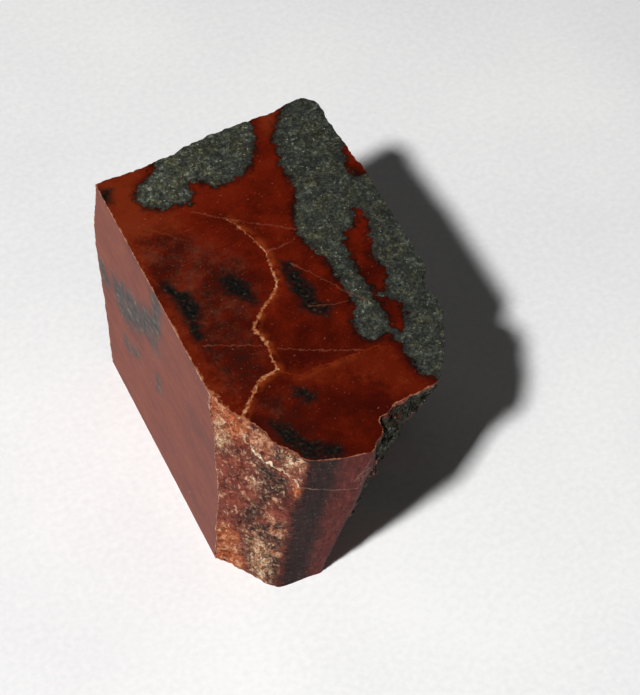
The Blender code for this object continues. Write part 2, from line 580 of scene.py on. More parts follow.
top_board = spots[:, :2] - SLANT * (HEIGHT - spots[:, 2:])
top_board[is_other] += np.array([wander(spot) for spot in spots[is_other]])
left_board = spots[:, 1:]
front_board = np.column_stack((from_corner(spots), spots[:, 2]))
print("vertices on the boards:", is_top.sum(), is_left.sum(), is_front.sum(), is_other.sum())


# %% Distances on a board
def measure(board, line):
    """Nearest distance to a line of points, the side it is on and how far along, in mm."""
    line = np.array(line, float)
    starts, runs = line[:-1], np.diff(line, axis=0)
    lengths = np.hypot(*runs.T)
    gone = np.concatenate(([0.0], np.cumsum(lengths)))
    best = np.full(len(board), np.inf)
    side = np.zeros(len(board))
    along = np.zeros(len(board))
    for start, run, length, before in zip(starts, runs, lengths, gone):
        off = board - start
        share = (off @ run) / length**2
        gap = off - np.outer(np.clip(share, 0, 1), run)
        distance = np.hypot(*gap.T)
        nearer = distance < best
        best[nearer] = distance[nearer]
        side[nearer] = np.sign(run[0] * off[:, 1] - run[1] * off[:, 0])[nearer]
        along[nearer] = (before + share * length)[nearer]
    return best, side, along, gone[-1]


def depth_inside(board, outline):
    """How deep each spot lies inside a closed outline, negative outside, in mm."""
    closed = [*outline, outline[0]]
    inside = np.zeros(len(board), bool)
    for (x0, y0), (x1, y1) in zip(closed, closed[1:]):
        spans = (board[:, 1] < y0) != (board[:, 1] < y1)
        crossing = x0 + (board[:, 1] - y0) * (x1 - x0) / ((y1 - y0) or 1.0)
        inside ^= spans & (board[:, 0] < crossing)
    return np.where(inside, 1, -1) * measure(board, closed)[0]


def deepest(board, outlines):
    """Depth inside any of several outlines."""
    return np.max([depth_inside(board, outline) for outline in outlines], axis=0)


FAR_OUT = -9.0


def keep(name, values):
    """Stores one number per vertex under a name that materials can read."""
    attribute = stone.data.attributes.new(name, "FLOAT", "POINT")
    attribute.data.foreach_set("value", values.astype(np.float32))
    print(name, "from", round(float(values.min()), 2), "to", round(float(values.max()), 2))


# %% [markdown]
# ### The green-grey matrix
#
# The red jasper fills the gaps between pieces of an older, grainy green-grey rock. On top
# there is one piece at the back left edge and a large one that covers the right back corner,
# with a red stripe, a red island and a red wedge in it.

# %% Outline the matrix
MATRIX_BACK = [
    (3.8, 32.1), (5.0, 33.6), (7.2, 34.9), (8.6, 36.2), (9.0, 44.0), (23.4, 44.0), (23.2, 38.0),
    (23.0, 36.7), (22.4, 34.6), (21.1, 32.3), (19.1, 30.1), (17.2, 29.5), (14.2, 29.5),
    (12.5, 31.4), (11.1, 31.5), (10.9, 29.3), (10.2, 28.1), (8.0, 28.6), (6.2, 28.9), (4.4, 30.1),
]
MATRIX_RIGHT = [
    (28.6, 44.0), (28.3, 38.6), (25.9, 35.9), (24.6, 33.6), (24.3, 30.8), (23.5, 29.2),
    (23.8, 26.5), (23.3, 23.5), (21.9, 21.4), (21.0, 19.0), (20.7, 16.7), (21.6, 14.1),
    (22.3, 11.6), (22.3, 8.6), (22.3, 5.8), (22.6, 4.1), (21.3, 2.3), (20.8, 1.3), (20.9, -0.6),
    (21.7, -2.0), (23.1, -2.2), (23.9, -1.5), (24.3, -2.0), (24.5, -3.3), (25.1, -3.8),
    (24.9, -5.5), (25.0, -7.4), (25.2, -9.2), (26.3, -10.4), (28.0, -14.0), (45.0, -14.0),
    (45.0, 44.0),
]
RED_STRIPE = [
    (29.0, 18.4), (29.9, 17.8), (30.1, 17.0), (30.1, 15.5), (28.8, 12.9), (29.1, 11.9),
    (27.7, 10.3), (28.3, 8.9), (28.4, 7.3), (27.9, 5.7), (27.1, 4.3), (26.0, 4.4), (25.4, 5.0),
    (25.2, 6.2), (25.0, 7.6), (25.1, 9.5), (25.3, 11.6), (25.5, 13.5), (26.4, 15.3),
    (27.5, 15.8), (28.4, 16.1), (28.8, 17.4),
]
RED_ISLAND = [
    (25.2, 4.1), (25.1, 2.7), (25.2, 1.1), (25.0, -0.4), (25.0, -1.3), (25.7, -2.5), (26.7, -1.9),
    (27.4, -0.8), (27.9, 0.8), (27.5, 2.3), (26.4, 3.5),
]
RED_WEDGE = [(34.5, 31.0), (32.6, 28.7), (31.3, 25.0), (31.5, 24.1), (32.0, 23.1), (36.0, 23.0)]
NOSE_END = 4.0
RED_BAND = 0.5
MIXTURE = 0.5
PATCHINESS = 2.4
MIXED_SIZE = 4.5
SHARPER = 3.0

matrix = deepest(top_board, [MATRIX_BACK, MATRIX_RIGHT])
matrix = np.minimum(matrix, -deepest(top_board, [RED_STRIPE, RED_ISLAND, RED_WEDGE]))
matrix[is_left] = FAR_OUT
matrix[is_front] = FAR_OUT
# Right of the nose the break is a mixture of the two, in patches a few mm wide.
beside_nose = is_other & (spots[:, 1] < NOSE_END) & (spots[:, 2] < HEIGHT - RED_BAND)
patches = np.array([noise.noise(Vector(spot) / MIXED_SIZE) for spot in spots[beside_nose]])
matrix[beside_nose] = np.maximum(matrix[beside_nose], MIXTURE + PATCHINESS * patches)
# Depths grow slowly along the right cut, so its borders are drawn sharper.
matrix[spots[:, 0] > WIDTH - IN_PLANE] *= SHARPER
keep("matrix", matrix)

# %% [markdown]
# ### Dark patches
#
# Where chlorite and iron minerals gather, the red turns nearly black. These patches are
# soft-edged and follow one direction. The largest one crosses the left edge of the top and
# shows on the saw cut as a grey-green cloud.

# %% Outline the dark patches
DARK_TOP = [
    [(1.3, 17.6), (2.0, 17.1), (2.7, 15.6), (3.9, 14.4), (4.2, 12.6), (3.9, 10.9), (3.2, 9.7),
     (3.0, 7.6), (1.9, 7.2), (1.8, 9.0), (2.1, 11.0), (1.9, 13.2), (1.9, 15.0), (1.2, 16.3)],
    [(8.9, 15.3), (10.0, 15.0), (10.8, 13.7), (11.2, 12.2), (11.1, 9.4), (10.5, 10.4),
     (9.5, 11.4), (8.7, 12.5), (8.5, 14.0)],
    [(16.8, 14.1), (17.6, 13.7), (17.9, 12.5), (18.0, 10.9), (18.4, 9.6), (18.7, 8.2),
     (17.9, 6.8), (16.8, 6.6), (16.4, 7.8), (16.2, 9.4), (16.4, 11.1), (16.5, 12.8)],
    [(17.0, 8.6), (17.8, 7.5), (18.7, 5.8), (19.5, 5.0), (18.6, 4.0), (17.1, 4.7), (16.2, 6.1)],
    [(9.8, -4.7), (10.9, -5.4), (11.7, -6.6), (11.5, -7.5), (10.4, -7.3), (9.7, -6.2)],
    [(5.1, -8.5), (6.3, -9.1), (6.9, -11.0), (7.8, -12.4), (9.5, -13.8), (11.1, -14.9),
     (11.3, -16.0), (10.3, -16.7), (8.5, -16.0), (6.9, -14.8), (6.0, -12.7), (5.2, -10.9)],
    [(-0.1, 35.4), (1.5, 34.7), (0.4, 32.7), (-0.6, 32.8)],
]
DARK_LEFT = [
    [(33.2, 24.6), (29.5, 27.6), (26.0, 29.0), (23.6, 29.6), (20.5, 32.2), (17.6, 33.0),
     (17.0, 28.6), (20.7, 25.4), (24.3, 22.4), (27.8, 19.4), (30.8, 18.8), (33.2, 21.0)],
    [(17.4, 41.0), (14.0, 41.0), (15.0, 35.0), (16.6, 29.0), (19.6, 27.0), (20.6, 30.0),
     (18.4, 34.8)],
    [(38.0, 23.4), (35.2, 22.6), (34.0, 20.6), (36.0, 18.0), (38.0, 18.6)],
    [(30.4, 14.4), (27.9, 15.4), (24.0, 17.6), (25.0, 15.2), (28.3, 12.4), (30.4, 12.4)],
    [(20.9, 26.8), (17.2, 29.4), (15.6, 28.2), (19.0, 24.6)],
    [(18.4, 19.6), (16.8, 20.6), (16.8, 17.6), (18.6, 16.0)],
]
DARK_FRONT = [
    [(8.2, 33.6), (10.9, 35.1), (13.9, 31.9), (13.0, 28.8), (10.6, 25.4), (9.0, 18.6), (5.7, 14.3),
     (5.8, 18.2), (8.3, 24.5), (9.0, 29.1)],
    [(11.8, 40.5), (13.3, 39.6), (14.1, 38.0), (13.4, 35.9), (12.4, 36.4), (11.4, 37.3)],
    [(4.4, 6.6), (5.6, 13.9), (9.2, 18.4), (12.8, 21.5), (11.7, 14.7), (9.7, 1.0), (4.5, 0.0)],
]
# On the top the stain spreads a little past the outlines.
SPREAD = 0.25
dark = deepest(top_board, DARK_TOP)
dark[is_top] += SPREAD
dark[is_left] = deepest(left_board, DARK_LEFT)[is_left]
dark[is_front] = deepest(front_board, DARK_FRONT)[is_front]
keep("dark", dark)

# %% [markdown]
# ### Warm, mottled and pale zones
#
# Near cracks and rims the iron has rusted to orange. Left of the main vein the red is
# mottled with brownish purple. The broken front has orange and cream zones where the quartz
# is coarser.

# %% Outline the warm, mottled and pale zones
WARM_TOP = [
    [(0.5, 15.6), (1.3, 13.5), (1.7, 8.7), (1.9, 4.6), (2.0, -0.5), (2.5, -5.0), (1.6, -6.6),
     (-1.2, -2.5), (-1.1, 7.8)],
    [(9.9, -2.0), (14.1, -3.3), (19.0, -3.4), (22.4, -3.4), (23.7, -5.1), (24.8, -10.0),
     (26.0, -12.0), (23.2, -12.7), (20.7, -11.2), (19.9, -8.7), (17.3, -5.5), (13.1, -5.6),
     (10.0, -4.8)],
    [(24.8, 41.0), (28.6, 41.0), (27.2, 36.3), (24.8, 34.4), (24.1, 36.2)],
    [(-1.0, 37.0), (7.0, 37.5), (6.0, 35.0), (4.6, 32.0), (4.8, 29.0), (7.4, 27.4), (7.6, 24.8),
     (5.0, 24.6), (2.6, 25.6), (1.0, 23.4), (0.8, 17.6), (-1.0, 16.0)],
]
WARM_FRONT = [
    [(-1.0, 41.0), (7.4, 41.0), (7.2, 37.1), (6.5, 35.2), (4.7, 34.2), (2.1, 35.0), (-1.0, 34.0)],
    [(-1.0, 10.0), (3.2, 11.5), (3.7, 8.5), (3.4, 4.2), (4.7, 0.2), (4.7, -1.0), (-1.0, -1.0)],
    [(14.6, 32.3), (15.8, 31.3), (14.8, 29.3), (13.9, 29.7)],
]
MOTTLED_TOP = [
    [(0.3, 29.2), (5.1, 26.4), (9.1, 20.9), (12.6, 16.1), (12.2, 11.2), (9.3, 7.2), (8.7, 2.3),
     (7.5, -0.5), (3.4, -2.9), (1.7, -2.1), (1.3, 3.2), (0.9, 6.8), (0.8, 13.0), (0.7, 19.3),
     (0.5, 23.9)],
    [(4.8, -4.4), (7.5, -4.3), (9.5, -7.4), (9.3, -10.7), (6.2, -11.7), (4.0, -8.2)],
]
PALE_FRONT = [
    [(0.7, 34.6), (3.1, 36.2), (4.3, 33.8), (4.0, 31.1), (2.1, 29.9), (0.6, 31.2)],
    [(13.3, 39.6), (15.2, 39.9), (16.3, 39.1), (16.1, 36.7), (14.6, 34.7), (13.4, 36.3)],
    [(5.9, 10.6), (7.4, 11.5), (8.8, 7.2), (8.3, 1.6), (6.6, -0.5), (5.6, 2.8), (5.1, 6.8)],
    [(7.0, 28.0), (8.0, 28.4), (8.2, 26.4), (7.2, 26.0)],
]
# Lumps of pink quartz: where each middle is on the front and its radius.
LUMPS_FRONT = [
    ((9.3, 37.9), 1.5), ((10.8, 38.2), 1.2), ((10.1, 20.0), 0.9), ((11.1, 16.6), 1.5),
    ((6.0, 12.2), 1.0), ((11.2, 25.6), 0.8), ((5.4, 30.9), 0.8), ((3.4, 27.6), 0.6),
    ((6.6, 22.0), 0.6), ((12.0, 12.4), 0.7), ((2.2, 19.4), 0.7), ((1.4, 24.6), 0.6),
    ((10.0, 9.4), 0.8),
]
# Rust comes in from the top, so it fades down the breaks.
RUST_FADE = 0.35
warm = deepest(top_board, WARM_TOP)
warm[is_left] = FAR_OUT
warm[is_other] -= RUST_FADE * (HEIGHT - spots[is_other, 2])
warm[beside_nose] = FAR_OUT
warm[is_front] = deepest(front_board, WARM_FRONT)[is_front]
keep("warm", warm)
keep("mottled", np.where(is_top, deepest(top_board, MOTTLED_TOP), FAR_OUT))
keep("pale", np.where(is_front, deepest(front_board, PALE_FRONT), FAR_OUT))
pink = np.full(len(spots), FAR_OUT)
for lump, radius in LUMPS_FRONT:
    pink = np.maximum(pink, radius - np.hypot(*(front_board - lump).T))
keep("pink", np.where(is_front, pink, FAR_OUT))

# %% Outline the facet and its purple part
# The purple part lies between the facet's left border and a slanting line.
PURPLE_FRONT = [
    (16.4, 41.0), (16.2, 36.4), (14.9, 29.9), (13.5, 24.2), (12.2, 17.0), (11.0, 11.0), (9.7, -1.0),
    (12.8, -1.0), (13.0, 1.8), (14.2, 8.6), (15.4, 15.8), (17.0, 24.9), (18.4, 31.2), (19.9, 39.5),
    (20.1, 41.0),
]
keep("purple", np.where(is_front, depth_inside(front_board, PURPLE_FRONT), FAR_OUT))
keep("facet", np.where(is_front, past_border(spots), FAR_OUT))

# %% [markdown]
# ### Veins
#
# Cracks in the jasper healed with pale quartz. The main vein runs jagged across the top, with
# rusty stone on its right; a branch leaves it near the front, and thin straight veins
# cross it. A vein is a line of points with its half width in mm. The side matters too: a
# distance that changes sign across the line crosses zero exactly on it, so even a vein much
# thinner than the mesh stays unbroken.

# %% Lines for the veins
MAIN_VEIN = [
    (13.2, 23.8), (14.2, 21.8), (15.0, 19.5), (15.7, 16.5), (15.4, 14.8), (15.2, 13.4),
    (15.0, 11.5), (13.9, 9.9), (12.5, 9.0), (10.6, 7.5), (9.9, 6.8), (9.1, 5.8), (9.7, 3.4),
    (9.3, 1.0), (9.2, -1.2), (6.4, -1.9), (4.9, -3.4), (3.2, -5.1), (2.4, -6.1), (1.8, -7.0),
]
BRANCH_VEIN = [
    (9.2, -1.5), (11.4, -3.3), (14.1, -3.1), (16.7, -3.2), (19.0, -3.2), (21.2, -3.2), (22.6, -3.1),
]
THIN_VEINS = [
    [(1.9, 6.2), (6.0, 4.4), (9.1, 2.8)],
    [(10.4, 1.8), (14.2, -0.3), (16.4, -1.3), (20.4, -3.2)],
    [(9.6, 26.9), (13.2, 23.8), (17.2, 20.9), (21.0, 18.2)],
    [(15.8, 16.5), (17.9, 16.5), (20.4, 17.0)],
    [(17.7, 13.7), (19.3, 11.3), (21.0, 8.5), (22.1, 6.6), (24.0, 4.0)],
    [(16.8, 6.2), (19.4, 5.2), (22.2, 4.8)],
]
RUST_LINES = [
    [(-0.1, 26.8), (0.6, 25.0), (1.8, 23.5), (3.6, 21.6)],
    [(0.5, 28.3), (2.3, 27.2), (5.4, 24.4), (7.0, 22.6)],
    [(1.0, 22.6), (0.4, 21.6), (0.2, 20.4)],
    [(-0.0, 19.6), (0.6, 18.4), (1.1, 17.1)],
]
FRONT_VEIN = [
    (6.3, 37.7), (7.3, 36.9), (8.8, 35.8), (10.4, 35.5), (11.8, 35.3), (12.8, 34.4), (13.7, 33.5),
    (14.8, 32.7), (15.8, 32.0), (16.9, 31.0), (18.3, 30.3), (19.6, 29.7), (20.7, 29.3),
]
# Pale lines along the ridge at the facet's right: a painted highlight.
RIDGE_GLINTS = [
    [(22.6, 38.2), (21.5, 34.6), (20.5, 31.9)],
    [(22.2, 35.6), (21.4, 32.4), (20.9, 30.4)],
]

# %% Store the veins
# Half widths at distances along a vein, all in mm.
MAIN_WIDTHS = [
    (0.0, 0.05), (5.0, 0.08), (8.0, 0.11), (10.0, 0.16), (12.8, 0.20), (16.0, 0.14), (19.8, 0.22),
    (23.6, 0.19), (26.0, 0.13), (28.2, 0.11), (31.0, 0.18), (33.0, 0.25), (38.0, 0.26),
]
FRONT_WIDTHS = [(0.0, 0.20), (4.0, 0.27), (9.5, 0.27), (11.5, 0.11), (13.0, 0.05)]
NO_VEIN = -1.0
VEIN_REACH = 0.7


def keep_veins(name, board, chosen, lines, widths):
    """Stores the distance across the nearest line and its half width there, for each vertex."""
    across = np.full(len(board), -FAR_OUT)
    half = np.full(len(board), NO_VEIN)
    for line in lines:
        distance, side, along, length = measure(board, line)
        near = chosen & (distance < np.abs(across)) & (along > 0) & (along < length)
        across[near] = (side * distance)[near]
        half[near] = np.interp(along, *np.array(widths).T)[near]
    half[np.abs(across) > VEIN_REACH] = NO_VEIN
    rows = np.column_stack((across, half, np.zeros(len(board)))).astype(np.float32)
    attribute = stone.data.attributes.new(name, "FLOAT_VECTOR", "POINT")
    attribute.data.foreach_set("vector", rows.ravel())
    print(name, "touches", int((half > 0).sum()), "vertices")


keep_veins("main_vein", top_board, is_top, [MAIN_VEIN], MAIN_WIDTHS)
keep_veins("branch_vein", top_board, is_top, [BRANCH_VEIN], [(0.0, 0.06)])
keep_veins("thin_veins", top_board, is_top, THIN_VEINS, [(0.0, 0.045)])
keep_veins("rust_lines", top_board, is_top, RUST_LINES, [(0.0, 0.06)])
keep_veins("front_vein", front_board, is_front, [FRONT_VEIN], FRONT_WIDTHS)
keep_veins("ridge_glints", front_board, is_front, RIDGE_GLINTS, [(0.0, 0.06)])

# %% Rust beside the veins
RUST_REACH = 1.1
# Each rusty vein: its line, its rusty side (1 is left as the line runs), and how rusty it is.
RUSTY_VEINS = [(MAIN_VEIN, 1, 1.0), (BRANCH_VEIN, -1, 0.55)]
rust = np.zeros(len(spots))
for line, rusty_side, strength in RUSTY_VEINS:
    distance, side, along, length = measure(top_board, line)
    beside = (side == rusty_side) & (along > 0) & (along < length)
    rust = np.maximum(rust, np.where(beside, strength * (1 - distance / RUST_REACH), 0))
keep("rust", np.where(is_top, rust, 0))

# %% [markdown]
# ### Rims
#
# The left and front rims of the top and the edges of the left cut are worn pale, most of
# all at the left front corner. These rims face the main light, and their pale line is also a
# painted highlight. A rim runs where faces of different sides meet, and each vertex keeps its
# distance to the nearest spot of a worn rim.


# %% Distance from the worn rims
def rim_vertices(mesh, slots):
    """Numbers of the vertices where faces of different sides meet."""
    corners = read(mesh.loops, "vertex_index", 1)[:, 0].astype(int)
    counts = read(mesh.polygons, "loop_total", 1)[:, 0].astype(int)
    owner = np.repeat(slots, counts)
    lowest = np.full(len(mesh.vertices), len(FLAT_SIDES) + 1)
    highest = np.full(len(mesh.vertices), -1)
    np.minimum.at(lowest, corners, owner)
    np.maximum.at(highest, corners, owner)
    return np.flatnonzero(lowest < highest)


LEFT_RIM_REACH = 0.8
NOSE_RIM_RIGHT = 24.0
NOSE_RIM_BACK = -9.0
WORN_AND_LIT_CORNER = (0.0, -1.3, 38.6)
WORN_AND_LIT_REACH = 4.5
WORN_AND_LIT_MORE = 2.5

side_of_face = np.zeros(len(middles), int)
for number, chosen in enumerate(faces_of.values(), start=1):
    side_of_face[chosen] = number
round_nose = (spots[:, 0] < NOSE_RIM_RIGHT) & (spots[:, 1] < NOSE_RIM_BACK)
# The chosen rims face the main light: their pale line is wear and a painted highlight.
is_worn_and_lit = (spots[:, 0] < LEFT_RIM_REACH) | in_front(spots) | round_nose
rim = [index for index in rim_vertices(stone.data, side_of_face) if is_worn_and_lit[index]]
tree = kdtree.KDTree(len(rim))
for index in rim:
    tree.insert(spots[index], int(index))
tree.balance()
to_rim = np.array([tree.find(spot)[2] for spot in spots])
# Near the left front corner the same distance counts for less, so more of it is worn and painted pale
# as a highlight.
nearness = np.exp(-((np.linalg.norm(spots - WORN_AND_LIT_CORNER, axis=1) / WORN_AND_LIT_REACH) ** 2))
keep("rim", to_rim / (1 + WORN_AND_LIT_MORE * nearness))

# %% [markdown]
# ## Colours and nodes
#
# Colours are written as sRGB hex codes, the numbers that a colour picker shows. Blender
# mixes light in linear values, so one function turns the codes. A second one adds a node,
# sets it up and links it, and a third lays one colour over another where a mask says so.
# With these three, each material stays short enough to read.


# %% Turn hex colours to linear
def colour(code):
    """An sRGB hex colour as linear red, green and blue, with full alpha."""
    linear = []
    for place in (1, 3, 5):
        share = int(code[place : place + 2], 16) / 255
        linear.append(share / 12.92 if share <= 0.04045 else ((share + 0.055) / 1.055) ** 2.4)
    return (*linear, 1.0)


# %% Add a node
def fill(tree, node, inputs):
    """Fills a node's inputs, each with a value or with the node or socket to link to it."""
    for name, value in inputs.items():
        if isinstance(value, bpy.types.Node):
            value = next(output for output in value.outputs if output.enabled)
        if isinstance(value, bpy.types.NodeSocket):
            tree.links.new(value, node.inputs[name])
        else:
            node.inputs[name].default_value = value


def add(tree, kind, inputs=None, stops=(), **settings):
    """Adds a node with its settings and links. The stops are those of a colour ramp."""
    node = tree.nodes.new("ShaderNode" + kind)
    for name, value in settings.items():
        setattr(node, name, value)
    fill(tree, node, inputs or {})
    if stops:
        ramp = node.color_ramp.elements
        ramp.remove(ramp[1])
        ramp[0].position = stops[0][0]
        ramp[0].color = colour(stops[0][1])
        for share, code in stops[1:]:
            ramp.new(share).color = colour(code)
    return node


# %% Lay one colour over another
# A Mix node of colours has its inputs at these places.
FACTOR, UNDER, OVER = 0, 6, 7


def lay(tree, under, over, *shares):
    """Lays a colour or a hex code over another colour, as thick as the shares' product."""
    thickness = shares[0]
    for share in shares[1:]:
        thickness = add(tree, "Math", {0: thickness, 1: share}, operation="MULTIPLY")
    if isinstance(over, str):
        over = colour(over)
    return add(tree, "Mix", {FACTOR: thickness, UNDER: under, OVER: over}, data_type="RGBA")


# %% Start a material
QUARTZ_IOR = 1.54


def start_material(name):
    """A new material: itself, its node tree, its shader and the place in mm."""
    material = bpy.data.materials.new(name)
    material.use_nodes = True
    tree = material.node_tree
    shader = tree.nodes["Principled BSDF"]
    shader.inputs["IOR"].default_value = QUARTZ_IOR
    place = add(tree, "TexCoord").outputs["Object"]
    in_mm = add(tree, "VectorMath", {0: place, "Scale": 1 / MM}, operation="SCALE")
    return material, tree, shader, in_mm


# %% [markdown]
# ### Paper
#
# The floor is drawing paper: white, matt and not quite even. A slow cloudiness and the
# fine tooth of the sheet, a few per cent each, are all that shows from here.

# %% Paper floor
CLOUD_SIZE = 60.0
TOOTH_SIZE = 0.9
TOOTH_SHARE = 0.6
PAPER_ROUGHNESS = 0.9

paper, tree, shader, place = start_material("drawing_paper")
clouds = add(tree, "TexNoise", {"Vector": place, "Scale": 1 / CLOUD_SIZE, "Detail": 3.0})
tooth = add(tree, "TexNoise", {"Vector": place, "Scale": 1 / TOOTH_SIZE, "Detail": 3.0})
tone = add(tree, "Math", {0: tooth, 1: TOOTH_SHARE, 2: clouds}, operation="MULTIPLY_ADD")
shade = add(tree, "ValToRGB", {"Fac": tone}, [(0.6, "#e9e9ea"), (1.0, "#f6f6f5")])
fill(tree, shader, {"Base Color": shade, "Roughness": PAPER_ROUGHNESS})
floor.data.materials.append(paper)
print(paper.name, "has", len(tree.nodes), "nodes")

# %% [markdown]
# ## Where each mineral is
#
# The stored distances become masks here. A border drawn through the points of an outline
# would be as smooth as a cut, but crystals of one mineral grow into the other. So noise
# moves the border to and fro before the mask is taken. The mask's own edge is narrow
# for the sharp matrix and wide for a blurred stain.


# %% Masks for areas
JAG_SIZE = 1.0


def jagged(tree, place, distance, size, jags):
    """A distance that noise moves to and fro by about jags mm, in bends about size mm wide."""
    bends = {"Vector": place, "Scale": 1 / size, "Detail": 5.0, "Roughness": 0.65}
    bend = add(tree, "TexNoise", bends)
    shift = add(tree, "Math", {0: bend, 1: 4 * jags, 2: -2 * jags}, operation="MULTIPLY_ADD")
    return add(tree, "Math", {0: distance, 1: shift}, operation="ADD")


def depth_in(tree, place, name, jags):
    """How deep a spot is inside an outline whose border has jags."""
    stored = add(tree, "Attribute", attribute_name=name)
    return jagged(tree, place, stored.outputs["Fac"], JAG_SIZE, jags)


def area_mask(tree, place, name, jags, blur):
    """1 inside an outline and 0 outside, with a border that is blur mm wide to each side."""
    depth = {"Value": depth_in(tree, place, name, jags), "From Min": -blur, "From Max": blur}
    return add(tree, "MapRange", depth, interpolation_type="SMOOTHSTEP")


# %% Masks for veins
VEIN_WANDER = 0.32
WANDER_STEP = 0.7
VEIN_EDGE = 0.07
SWELL_STEP = 1.3
# The noise lies round 0.5, so the half width is multiplied by about 0.5 to 1.4.
SWELL_GAIN = 2.6
SWELL_SHIFT = -0.35


def vein_mask(tree, place, name, wider=0.0):
    """1 on a healed crack and 0 beside it. The crack wavers, swells and pinches."""
    stored = add(tree, "Attribute", attribute_name=name).outputs["Vector"]
    across, half, _ = add(tree, "SeparateXYZ", {0: stored}).outputs
    moved = jagged(tree, place, across, WANDER_STEP, VEIN_WANDER)
    away = add(tree, "Math", {0: moved}, operation="ABSOLUTE")
    swells = {"Vector": place, "Scale": 1 / SWELL_STEP, "Detail": 5.0, "Roughness": 0.7}
    swell = add(tree, "TexNoise", swells)
    share = add(tree, "Math", {0: swell, 1: SWELL_GAIN, 2: SWELL_SHIFT}, operation="MULTIPLY_ADD")
    reach = add(tree, "Math", {0: half, 1: share, 2: wider}, operation="MULTIPLY_ADD")
    inside = add(tree, "Math", {0: reach, 1: away}, operation="SUBTRACT")
    return add(tree, "MapRange", {"Value": inside, "From Min": -VEIN_EDGE, "From Max": VEIN_EDGE})


# %% [markdown]
# ## Painting the minerals
#
# Every finish shows the same minerals in other shades: a polish wets the stone and darkens
# it, a saw cut scatters light and greys it. So one set of functions paints the minerals
# from a set of shades, layer on layer: red jasper, rust, dark patches, the matrix and
# last the veins.
#
# The sizes of the patterns are those of the real stone, in mm. The grains of the matrix are
# a third to half a millimetre wide, which is three pixels of the picture.

# %% Red jasper
CLOUDS = 5.0
MOTTLES = 1.3
FINE = 0.3
SPECKS = 0.3
FINE_SHARE = 0.25
BACK_LIFT = 0.12
LIFT_REACH = 25.0
WARMTH = 0.8


def paint_red(tree, place, shades):
    """Red jasper: cloudy, brighter to the back, mottled in places and rusty near cracks."""
    cloudy = {"Vector": place, "Scale": 1 / CLOUDS, "Detail": 6.0, "Roughness": 0.6}
    clouds = add(tree, "TexNoise", cloudy)
    to_back = {
        "Value": add(tree, "SeparateXYZ", {0: place}).outputs["Y"],
        "From Min": -LIFT_REACH, "From Max": LIFT_REACH, "To Min": -BACK_LIFT, "To Max": BACK_LIFT,
    }
    lift = add(tree, "MapRange", to_back)
    tone = add(tree, "Math", {0: clouds, 1: lift}, operation="ADD")
    grain = add(tree, "TexNoise", {"Vector": place, "Scale": 1 / FINE, "Detail": 3.0})
    tone = add(tree, "Math", {0: grain, 1: FINE_SHARE, 2: tone}, operation="MULTIPLY_ADD")
    tone = add(tree, "Math", {0: tone, 1: FINE_SHARE / 2}, operation="SUBTRACT")
    red = add(tree, "ValToRGB", {"Fac": tone}, shades["red"])

    blotchy = {"Vector": place, "Scale": 1 / MOTTLES, "Detail": 6.0, "Roughness": 0.75}
    speckle = add(tree, "TexNoise", blotchy)
    blotches = add(tree, "MapRange", {"Value": speckle, "From Min": 0.38, "From Max": 0.62})
    brown = add(tree, "ValToRGB", {"Fac": tone}, shades["mottled"])
    red = lay(tree, red, brown, area_mask(tree, place, "mottled", 1.2, 1.8), blotches)
    rusty = add(tree, "ValToRGB", {"Fac": tone}, shades["warm"])
    red = lay(tree, red, rusty, area_mask(tree, place, "warm", 1.4, 1.2), WARMTH)
    grit = add(tree, "TexNoise", {"Vector": place, "Scale": 1 / SPECKS, "Detail": 2.0})
    bright = {"Value": grit, "From Min": 0.7, "From Max": 0.78, "To Max": 0.7}
    return lay(tree, red, shades["speck"], add(tree, "MapRange", bright))


# %% Dark patches
FLECKS = 0.5
PATCHES = 1.2


def paint_dark(tree, place, under, shades):
    """Dark patches, flecked with grey and full of gaps, over the red."""
    flecks = add(tree, "TexNoise", {"Vector": place, "Scale": 1 / FLECKS, "Detail": 4.0})
    dark = add(tree, "ValToRGB", {"Fac": flecks}, shades["dark"])
    patchy = {"Vector": place, "Scale": 1 / PATCHES, "Detail": 5.0, "Roughness": 0.7}
    gaps = add(tree, "TexNoise", patchy)
    kept = {"Value": gaps, "From Min": 0.36, "From Max": 0.52, "To Min": shades["fill"]}
    stain = area_mask(tree, place, "dark", *shades["stain"])
    return lay(tree, under, dark, stain, add(tree, "MapRange", kept))


# %% The matrix
GRAINS = 0.4
GRAIN_SHARE = 0.4
PATCH_SHARE = 0.5
GLINTS = 0.35
TINTS = 2.2
MATRIX_JAGS = 0.8
MATRIX_EDGE = 0.15
HALO = 1.0
HALO_DEPTH = 0.9


